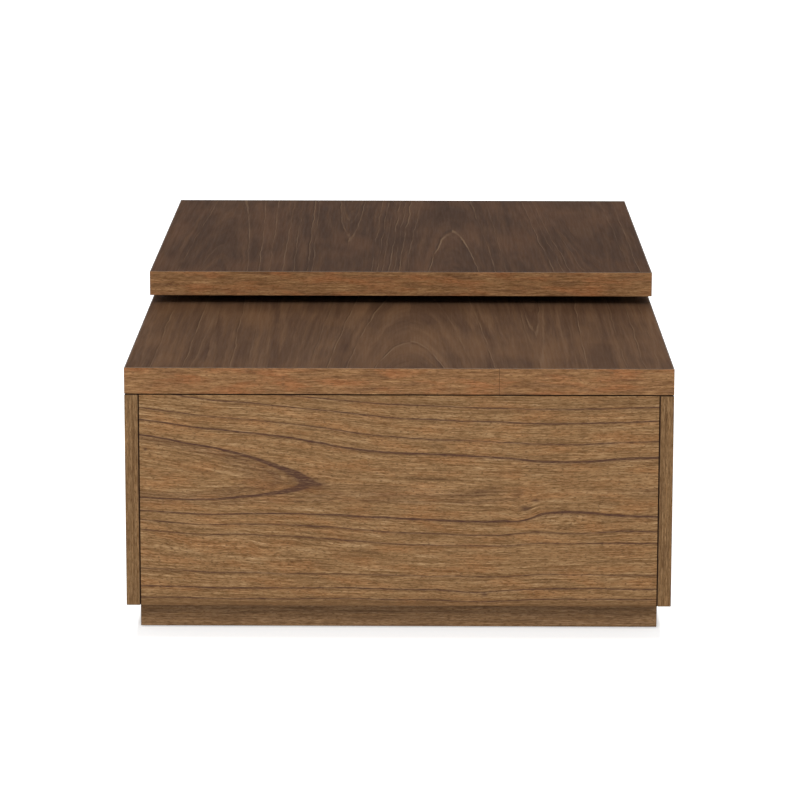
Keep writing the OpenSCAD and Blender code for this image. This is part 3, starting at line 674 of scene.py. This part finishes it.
def veneer_makers(colours):
    """How each veneer and edging is made, by name."""
    panel = Tones(colours.panel_dark, colours.panel_wood, colours.panel_light, colours.panel_red)
    edging = Tones(colours.edging_dark, colours.edging_wood, colours.edging_light, colours.edging_red)
    upright = Tones(colours.panel_dark, colours.upright_wood, colours.panel_wood, colours.upright_wood)
    # The lid's and the slab's tones: painted shade, as shaded copies of one veneer
    lid = Tones(colours.lid_dark, colours.lid_wood, colours.lid_light, colours.lid_red)
    slab = Tones(colours.slab_dark, colours.slab_wood, colours.slab_light, colours.slab_red)
    plinth = Tones(colours.panel_dark, colours.plinth_wood, colours.panel_wood, colours.plinth_wood)
    return {
        # Crown-cut leaves, laid level: bold dark arches, open pores, a satin sheen
        "crown_cut_end_near": partial(crown_veneer, colours, panel, END_CROWN, X, 2.0),
        "crown_cut_end_far": partial(crown_veneer, colours, panel, END_CROWN, (-1, 0, 0), 43.0),
        "crown_cut_side_left": partial(crown_veneer, colours, panel, SIDE_CROWN, Y, 5.0),
        "crown_cut_side_right": partial(crown_veneer, colours, panel, SIDE_CROWN, (0, -1, 0), 9.0),
        # Strips sliced from straight-grained boards and ironed on: fine level streaks, no arches
        "upright_edge_strip": partial(straight_wood, upright, Z, X, 11.0),
        "end_edge_strip": partial(straight_wood, edging, X, Z, 13.0, EDGE_GRAIN),
        "side_edge_strip": partial(straight_wood, edging, Y, Z, 17.0, EDGE_GRAIN),
        "plinth_strip_across": partial(straight_wood, plinth, X, Z, 29.0),
        "plinth_strip_along": partial(straight_wood, plinth, Y, Z, 31.0),
        # Leaves laid side by side and filled, painted darker than the panels as shade on the tops, the lid
        # darker than the slab: a calm brown top with fine pale lines of painted sheen
        "figured_lid_veneer": partial(top_veneer, colours, lid, LID_LEAVES, 19.0),
        "figured_slab_veneer": partial(top_veneer, colours, slab, SLAB_LEAVES, 53.0),
    }


def board_makers(colours):
    """How each lining, frame wood and stained arris is made, by name."""
    lining = Tones(colours.dark_arris, colours.lining, colours.panel_wood, colours.lining)
    pine = Tones(colours.pine_dark, colours.softwood, colours.pine_light, colours.softwood)

    return {
        # Plywood sealed with one stained coat: soft streaks, hardly any shine
        "sealed_board_across": partial(straight_wood, lining, X, ASLANT_YZ, 61.0, LINING_GRAIN),
        "sealed_board_along": partial(straight_wood, lining, Y, ASLANT_XZ, 67.0, LINING_GRAIN),
        # Planed pine, bare: pale, matt, with yellow bands of late wood along its length
        "planed_pine_across": partial(straight_wood, pine, X, ASLANT_YZ, 71.0, SOFT_GRAIN),
        "planed_pine_along": partial(straight_wood, pine, Y, ASLANT_XZ, 73.0, SOFT_GRAIN),
        "planed_pine_upright": partial(straight_wood, pine, Z, ASLANT_XY, 79.0, SOFT_GRAIN),
        # Stain wiped over sawn hardwood: a dull brown strip that the gap's shadow turns nearly black
        "stained_strip": partial(mottled_finish, colours.dark_strip, (0.55, 0.7), 5, 0.03, specular=0.2),
        # Stain pooled in the joint and never wiped, deepened as painted shade in the recess: a dull dark line
        "stain_filled_groove": partial(mottled_finish, colours.groove, (0.65, 0.8), 2, specular=0.1),
        # Corners painted dark as shade, where the silhouettes and lower arrises fall dark, and the tops' end
        # corners painted light as a highlight
        "stained_dark_arris": partial(mottled_finish, colours.dark_arris, (0.5, 0.6), 5, specular=0.2,
                                      variation=0.2),
        "rubbed_light_arris": partial(mottled_finish, colours.highlight_arris, (0.45, 0.55), 5, specular=0.2,
                                      variation=0.2),
    }


def hardware_makers(colours):
    """How each metal, plastic and rubber is made, by name."""
    return {
        # Powder baked on pressed steel: black satin with a faint orange peel, drawn 1.2 mm coarse
        "powder_coated_steel": partial(mottled_finish, colours.powder_coat, (0.38, 0.52), 1.2, 0.05),
        # Zinc plated bright: pale metal, clouded a little by the bath
        "zinc_plated_steel": partial(mottled_finish, colours.zinc, (0.25, 0.42), 2, metallic=1.0),
        # Drawn wire, blued in tempering and oiled: darker and glossier than the zinc
        "oiled_spring_steel": partial(mottled_finish, colours.spring_wire, (0.2, 0.34), 2, metallic=1.0),
        # Moulded nylon: milky white, satin from the mould
        "moulded_nylon": partial(mottled_finish, colours.nylon, (0.4, 0.5), 3, variation=0.04),
        # Moulded rubber: dull black, roughened by the mould
        "moulded_rubber": partial(mottled_finish, colours.rubber, (0.75, 0.85), 1, 0.03, specular=0.3),
    }


def finish(context, name):
    """A finish by its name, made on its first use."""
    known = bpy.data.materials.get(name)
    if known:
        return known
    colours = context.scene.table_colours
    for makers in (veneer_makers(colours), board_makers(colours), hardware_makers(colours)):
        if name in makers:
            return makers[name](name=name)
    raise KeyError("no finish is called " + name)


# Faces that turn by less than this from one to the next are shaded as one round face
ROUND_ANGLE = math.radians(35)


def dress(context, name, *nodes):
    """Give CAD nodes a finish, and shade their round faces smooth."""
    for node in nodes:
        piece = NODES[node]
        if not piece.material_slots:
            piece.data.materials.append(None)
        for place in piece.material_slots:
            place.material = finish(context, name)
        piece.data.shade_smooth()
        piece.data.set_sharp_from_angle(angle=ROUND_ANGLE)


def stand_in(context, node, ending, build, names, pick, body):
    """Build a piece in place of its CAD node, with one of its finishes picked for each face.

    It rides on its body.
    """
    shape = bmesh.new()
    build(shape)
    bmesh.ops.recalc_face_normals(shape, faces=shape.faces)
    for face in shape.faces:
        face.material_index = names.index(pick(face))
    mesh = bpy.data.meshes.new(node + ending)
    shape.to_mesh(mesh)
    shape.free()
    for name in names:
        mesh.materials.append(finish(context, name))
    piece = put_in_scene(node + ending, mesh)
    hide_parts(node)
    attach(piece, body)


def add_rings(shape, rings):
    """Put a closed solid through rings of four corners into a bmesh, and return its edges."""
    loops = [[shape.verts.new(place) for place in corners] for corners in rings]
    faces = [shape.faces.new(loops[0]), shape.faces.new(loops[-1])]
    for first, second in zip(loops, loops[1:]):
        for i in range(4):
            j = (i + 1) % 4
            faces.append(shape.faces.new((first[i], first[j], second[j], second[i])))
    return list({edge for face in faces for edge in face.edges})


def add_board(shape, low, high):
    """Put a board with sharp corners into a bmesh, and return its edges."""
    plan = [(low[0], low[1]), (high[0], low[1]), (high[0], high[1]), (low[0], high[1])]
    return add_rings(shape, [[(x, y, z) for x, y in plan] for z in (low[2], high[2])])


def planes_met(edge, low, high):
    """How many of a box's planes an edge lies in."""
    return sum(all(abs(corner.co[i] - level[i]) < CLOSE for corner in edge.verts)
               for i in range(3) for level in (low, high))


# How many flats a rounded corner has
ARRIS_STEPS = 3


def round_off(shape, edges, radius):
    """Round edges to a radius."""
    bmesh.ops.bevel(shape, geom=edges, offset=radius, segments=ARRIS_STEPS, profile=0.5, affect="EDGES",
                    clamp_overlap=True)


def round_arrises(shape, edges, low, high, radius):
    """Round those edges that are also edges of the given box."""
    round_off(shape, [edge for edge in edges if planes_met(edge, low, high) >= 2], radius)


# How nearly along an axis a flat face looks, and how far a rounded arris turns from or to one
FLAT = 0.93
SLANT = 0.3


def faces_along(face, axis):
    """Whether a face looks along an axis, and not across a rounded arris."""
    return abs(face.normal[axis]) > FLAT


def is_arris(face):
    """Whether a face lies on a rounded arris."""
    return not any(faces_along(face, axis) for axis in range(3))


def is_top_end_arris(face):
    """Whether a face lies on the rounded upper arris of a strip at an end of the table."""
    return is_arris(face) and face.normal.z > SLANT and abs(face.normal.x) < SLANT


class TABLE_OT_stage(bpy.types.Operator):
    """Pale floor, soft studio light, and the camera at the photograph's angle."""

    bl_idname = "table.stage"
    bl_label = "Stage, lights and camera"

    def execute(self, context):
        settings = context.scene.table_stage
        add_floor()
        add_softbox("front_softbox", settings.front_place, settings.front_power)
        add_softbox("back_softbox", settings.back_place, settings.back_power)
        add_studio_walls(context, settings)
        add_camera(context, settings)
        context.scene.view_settings.view_transform = "Standard"
        return {"FINISHED"}


def sees_backdrop(tree):
    """One for the rays that see the white backdrop: camera, glossy and transmission rays."""
    path = add(tree, "ShaderNodeLightPath")
    seen = add(tree, MATH, {"operation": "MAXIMUM"},
               {0: path.outputs["Is Camera Ray"], 1: path.outputs["Is Glossy Ray"]})
    return add(tree, MATH, {"operation": "MAXIMUM"}, {0: seen, 1: path.outputs["Is Transmission Ray"]})


# Half the floor's width in metres, and its paint
FLOOR_HALF = 30.0
FLOOR_PAINT = (0.7, 0.7, 0.7, 1)

# How far the painted shade beside and before the plinth reaches in metres, over what share of that it is
# even, and how strongly the floor glows there, its glow turned down to paint the shade
SHADE_REACH = (0.01, 0.13)
SHADE_EVEN = 0.4
SHADE_GLOW = 0.51

# The softboxes' width and height, and the place that they are turned to, in metres
SOFTBOX_SIZE = (4.0, 2.0)
TABLE_MIDDLE = Vector((0, 0, 0.25))

# The width of the camera's sensor in mm, and how far it sees in metres
SENSOR_WIDTH = 36
SIGHT_REACH = 100

# How high the studio's walls reach, as the sine of the angle at which they are seen
WALL_TOP = 0.55


def add_floor():
    """A pale floor that shows white, and keeps the table's soft shadow near its foot, with painted shade
    where its glow is turned down.
    """
    mesh = bpy.data.meshes.new("studio_floor")
    corners = [(-FLOOR_HALF, -FLOOR_HALF, 0), (FLOOR_HALF, -FLOOR_HALF, 0), (FLOOR_HALF, FLOOR_HALF, 0),
               (-FLOOR_HALF, FLOOR_HALF, 0)]
    mesh.from_pydata(corners, [], [(0, 1, 2, 3)])
    floor = put_in_scene("studio_floor", mesh)
    material = bpy.data.materials.new("painted_studio_floor")
    tree = emptied_tree(material)
    here = add(tree, "ShaderNodeTexCoord")
    foot = (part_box("plinth_right")[1].x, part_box("plinth_far")[1].y, 1)
    aside = add(tree, VECTOR, {"operation": "ABSOLUTE"}, {0: here.outputs["Object"]})
    beyond = add(tree, VECTOR, {"operation": "SUBTRACT", 1: foot}, {0: aside})
    outside = add(tree, VECTOR, {"operation": "MAXIMUM", 1: (0, 0, 0)}, {0: beyond})
    share = (1 / SHADE_REACH[0], 1 / SHADE_REACH[1], 0)
    reaches = add(tree, VECTOR, {"operation": "MULTIPLY", 1: share}, {0: outside})
    far = add(tree, VECTOR, {"operation": "LENGTH"}, {0: reaches})
    # Painted shade: the glow is turned down near the plinth's foot
    strength = add(tree, RANGE, {"From Min": SHADE_EVEN, "To Min": SHADE_GLOW, "To Max": 1.0}, {"Value": far})
    paint = add(tree, "ShaderNodeBsdfDiffuse", {"Color": FLOOR_PAINT})
    glow = add(tree, "ShaderNodeEmission", links={"Strength": strength})
    both = add(tree, "ShaderNodeAddShader", links={0: paint, 1: glow})
    shown = add(tree, "ShaderNodeMixShader", links={0: sees_backdrop(tree), 1: paint, 2: both})
    add(tree, "ShaderNodeOutputMaterial", links={"Surface": shown})
    mesh.materials.append(material)


def add_softbox(name, place, power):
    """A large soft light, turned to the middle of the table."""
    lamp = bpy.data.lights.new(name, "AREA")
    lamp.energy = power
    lamp.shape = "RECTANGLE"
    lamp.size, lamp.size_y = SOFTBOX_SIZE
    softbox = put_in_scene(name, lamp)
    turn = (TABLE_MIDDLE - Vector(place)).to_track_quat("-Z", "Y").to_matrix().to_4x4()
    softbox.matrix_world = Matrix.Translation(Vector(place)) @ turn


def add_studio_walls(context, settings):
    """Soft light from all round, strong near the horizon and weak overhead, with a white backdrop."""
    world = bpy.data.worlds.new("white_studio")
    context.scene.world = world
    tree = emptied_tree(world)
    here = add(tree, "ShaderNodeTexCoord")
    height = add(tree, VECTOR, {"operation": "DOT_PRODUCT", 1: Z}, {0: here.outputs["Generated"]})
    level = add(tree, RANGE, {"interpolation_type": "SMOOTHSTEP", "From Max": WALL_TOP,
                              "To Min": settings.horizon_level, "To Max": settings.ceiling_level},
                {"Value": height})
    soft = add(tree, "ShaderNodeBackground", links={"Strength": level})
    white = add(tree, "ShaderNodeBackground", {"Strength": 1.0, "Color": (1, 1, 1, 1)})
    shown = add(tree, "ShaderNodeMixShader", links={0: sees_backdrop(tree), 1: soft, 2: white})
    add(tree, "ShaderNodeOutputWorld", links={"Surface": shown})


def add_camera(context, settings):
    """The camera, far off and a little above the table, as the photograph was taken."""
    data = bpy.data.cameras.new("photo_camera")
    data.lens = settings.lens
    data.sensor_width = SENSOR_WIDTH
    data.clip_end = SIGHT_REACH
    camera = put_in_scene("photo_camera", data)
    camera.matrix_world = (
        Matrix.Translation(Vector(settings.camera_place))
        @ Matrix.Rotation(settings.camera_yaw, 4, "Z")
        @ Matrix.Rotation(math.radians(90) - settings.camera_pitch, 4, "X")
        @ Matrix.Rotation(settings.camera_roll, 4, "Z")
    )
    context.scene.camera = camera


class TABLE_OT_side_panels(bpy.types.Operator):
    """The two long side panels, veneered outside, edged at both ends and sealed inside."""

    bl_idname = "table.side_panels"
    bl_label = "Side panels"

    def execute(self, context):
        sizes = context.scene.table_sizes
        for node, outward, veneer in (("side_panel_left", -1, "crown_cut_side_left"),
                                      ("side_panel_right", 1, "crown_cut_side_right")):
            low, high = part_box(node)

            def ring(z, inset):
                left = low.x + (inset if outward < 0 else 0)
                right = high.x - (inset if outward > 0 else 0)
                near, far = low.y + inset, high.y - inset
                return [(left, near, z), (right, near, z), (right, far, z), (left, far, z)]

            def build(shape):
                ledge = high.z - sizes.line_width
                edges = add_rings(shape, [ring(low.z, 0), ring(ledge, 0), ring(ledge, sizes.line_depth),
                                          ring(high.z, sizes.line_depth)])
                round_arrises(shape, edges, low, Vector((high.x, high.y, ledge)), sizes.arris)

            def pick(face):
                if face.calc_center_median().z > high.z - sizes.line_width - CLOSE:
                    return "stain_filled_groove"
                if is_arris(face):
                    return "stained_dark_arris"
                if faces_along(face, 1):
                    return "upright_edge_strip"
                if face.normal.x * outward > 0 or faces_along(face, 2):
                    return veneer
                return "sealed_board_along"

            names = (veneer, "upright_edge_strip", "sealed_board_along", "stain_filled_groove",
                     "stained_dark_arris")
            stand_in(context, node, "_board", build, names, pick, "case")
        return {"FINISHED"}


# How round the end panels' rims are against the other boards' corners
RIM_SHARE = 0.5


class TABLE_OT_end_panels(bpy.types.Operator):
    """The two end panels, flush between the sides, with a shadow line at their sides and top."""

    bl_idname = "table.end_panels"
    bl_label = "End panels"

    def execute(self, context):
        sizes = context.scene.table_sizes
        for node, outward, veneer in (("end_panel_near", -1, "crown_cut_end_near"),
                                      ("end_panel_far", 1, "crown_cut_end_far")):
            low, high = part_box(node)
            front = low.y if outward < 0 else high.y
            back = high.y if outward < 0 else low.y
            ledge = front - outward * sizes.line_depth

            def ring(y, inset):
                return [(low.x + inset, y, low.z), (high.x - inset, y, low.z),
                        (high.x - inset, y, high.z - inset), (low.x + inset, y, high.z - inset)]

            def build(shape):
                edges = add_rings(shape, [ring(back, 0), ring(ledge, 0), ring(ledge, sizes.line_width),
                                          ring(front, sizes.line_width)])
                rim = [edge for edge in edges
                       if all(abs(corner.co.y - front) < CLOSE for corner in edge.verts)]
                round_off(shape, rim, RIM_SHARE * sizes.arris)

            def pick(face):
                depth = abs(face.calc_center_median().y - front)
                if depth > sizes.line_depth + CLOSE or face.normal.z < -FLAT:
                    return "sealed_board_across"
                return "stain_filled_groove" if depth > sizes.arris else veneer

            names = (veneer, "sealed_board_across", "stain_filled_groove")
            stand_in(context, node, "_board", build, names, pick, "case")
        return {"FINISHED"}


class TABLE_OT_plinth(bpy.types.Operator):
    """The four set-back plinth boards, with their braces, blocks, screws and glides."""

    bl_idname = "table.plinth"
    bl_label = "Plinth"

    def execute(self, context):
        arris = context.scene.table_sizes.arris
        for node, veneer in (("plinth_near", "plinth_strip_across"), ("plinth_far", "plinth_strip_across"),
                             ("plinth_left", "plinth_strip_along"), ("plinth_right", "plinth_strip_along")):
            low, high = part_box(node)

            def build(shape):
                round_arrises(shape, add_board(shape, low, high), low, high, arris)

            def pick(face):
                return "stained_dark_arris" if is_arris(face) else veneer

            names = (veneer, "stained_dark_arris")
            stand_in(context, node, "_board", build, names, pick, "case")
        dress(context, "planed_pine_across", "plinth_braces")
        dress(context, "planed_pine_upright", "plinth_blocks")
        dress(context, "zinc_plated_steel", "plinth_screws")
        dress(context, "moulded_nylon", "floor_glides")
        return {"FINISHED"}


def add_edging(shape, low, high, seams, sizes):
    """Four edging strips round a slab, the near one cut at its seams."""
    thick = sizes.strip_thickness
    cuts = [low.x, *seams, high.x]
    for left, right in zip(cuts, cuts[1:]):
        start = Vector((left, low.y, low.z))
        end = Vector((right - (GLUE_LINE if right != high.x else 0), low.y + thick, high.z))
        edges = add_board(shape, start, end)
        round_arrises(shape, edges, start, Vector((end.x, high.y, high.z)), sizes.seam_ease)
    inner = thick + GLUE_LINE
    runs = [((low.x, high.y - thick), (high.x, high.y)),
            ((low.x, low.y + inner), (low.x + thick, high.y - inner)),
            ((high.x - thick, low.y + inner), (high.x, high.y - inner))]
    for start, end in runs:
        edges = add_board(shape, (*start, low.z), (*end, high.z))
        round_arrises(shape, edges, low, high, sizes.strip_arris)


class TABLE_OT_tops(bpy.types.Operator):
    """The fixed top with its well, the lid's skins and framing, and the edging strips round both."""

    bl_idname = "table.tops"
    bl_label = "Tops and edging"

    def execute(self, context):
        sizes = context.scene.table_sizes
        dress(context, "figured_slab_veneer", "fixed_top")
        dress(context, "figured_lid_veneer", "lid_top_skin")
        dress(context, "sealed_board_along", "lid_bottom_skin")
        dress(context, "planed_pine_along", "lid_rails")
        dress(context, "planed_pine_across", "lid_ribs")
        for node, body, seams in (("fixed_top_edging", "case", (sizes.seam_place,)),
                                  ("lid_edging", "lid", ())):
            low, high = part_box(node)

            def build(shape):
                add_edging(shape, low, high, seams, sizes)

            def pick(face):
                # The tops' end corners take a painted highlight, the other corners and the strips' upper and
                # lower faces painted shade
                if is_top_end_arris(face):
                    return "rubbed_light_arris"
                if is_arris(face) or faces_along(face, 2):
                    return "stained_dark_arris"
                return "side_edge_strip" if faces_along(face, 0) else "end_edge_strip"

            names = ("end_edge_strip", "side_edge_strip", "stained_dark_arris", "rubbed_light_arris")
            stand_in(context, node, "_strips", build, names, pick, body)
        return {"FINISHED"}


class TABLE_OT_inside(bpy.types.Operator):
    """The storage floor, the rails, cleats and dowels, and the strips and bumpers under the lid."""

    bl_idname = "table.inside"
    bl_label = "Storage and strips"

    def execute(self, context):
        dress(context, "sealed_board_along", "storage_floor")
        dress(context, "sealed_board_across", "lift_rail_near", "lift_rail_far")
        dress(context, "planed_pine_along", "top_cleats")
        dress(context, "zinc_plated_steel", "cleat_screws")
        dress(context, "planed_pine_across", "case_dowels")
        dress(context, "stained_strip", "reveal_strips")
        dress(context, "moulded_rubber", "lid_bumpers")
        return {"FINISHED"}


class TABLE_OT_lift(bpy.types.Operator):
    """The lift hardware: plates, arms, brackets, pins, washers, springs and screws."""

    bl_idname = "table.lift"
    bl_label = "Lift hardware"

    def execute(self, context):
        dress(context, "powder_coated_steel", "base_plate_near", "base_plate_far", "rear_arm_near",
              "rear_arm_far", "front_arm_near", "front_arm_far", "lid_bracket_near", "lid_bracket_far")
        dress(context, "zinc_plated_steel", "base_plate_screws", "bracket_screws", "base_pivot_pins",
              "lid_pivot_pins", "stop_pins", "spring_pegs")
        dress(context, "moulded_nylon", "base_washers", "lid_washers")
        dress(context, "oiled_spring_steel", "lift_spring_near", "lift_spring_far")
        return {"FINISHED"}


STEPS = (TABLE_OT_stage, TABLE_OT_side_panels, TABLE_OT_end_panels, TABLE_OT_plinth, TABLE_OT_tops,
         TABLE_OT_inside, TABLE_OT_lift)


class TABLE_PT_sidebar(bpy.types.Panel):
    """Lists the table's sizes, colours and building steps."""

    bl_idname = "TABLE_PT_sidebar"
    bl_label = "Lift-top table"
    bl_space_type = "VIEW_3D"
    bl_region_type = "UI"
    bl_category = "Table"

    def draw(self, context):
        scene = context.scene
        for group in (scene.table_sizes, scene.table_colours, scene.table_stage):
            box = self.layout.box()
            for name in group.__annotations__:
                box.prop(group, name)
        for step in STEPS:
            self.layout.operator(step.bl_idname)


GROUPS = {"table_sizes": TableSizes, "table_colours": TableColours, "table_stage": TableStage}


def register():
    """Register every class and hang the settings on the scene."""
    for kind in (*GROUPS.values(), *STEPS, TABLE_PT_sidebar):
        bpy.utils.register_class(kind)
    for name, group in GROUPS.items():
        setattr(bpy.types.Scene, name, bpy.props.PointerProperty(type=group))


def unregister():
    """Take the settings off the scene and unregister every class."""
    for name in GROUPS:
        delattr(bpy.types.Scene, name)
    for kind in (TABLE_PT_sidebar, *reversed(STEPS), *GROUPS.values()):
        bpy.utils.unregister_class(kind)


def main():
    """Build the table step by step."""
    register()
    bpy.ops.table.stage()
    bpy.ops.table.side_panels()
    bpy.ops.table.end_panels()
    bpy.ops.table.plinth()
    bpy.ops.table.tops()
    bpy.ops.table.inside()
    bpy.ops.table.lift()
    bpy.context.view_layer.update()


if __name__ == "__main__":
    main()
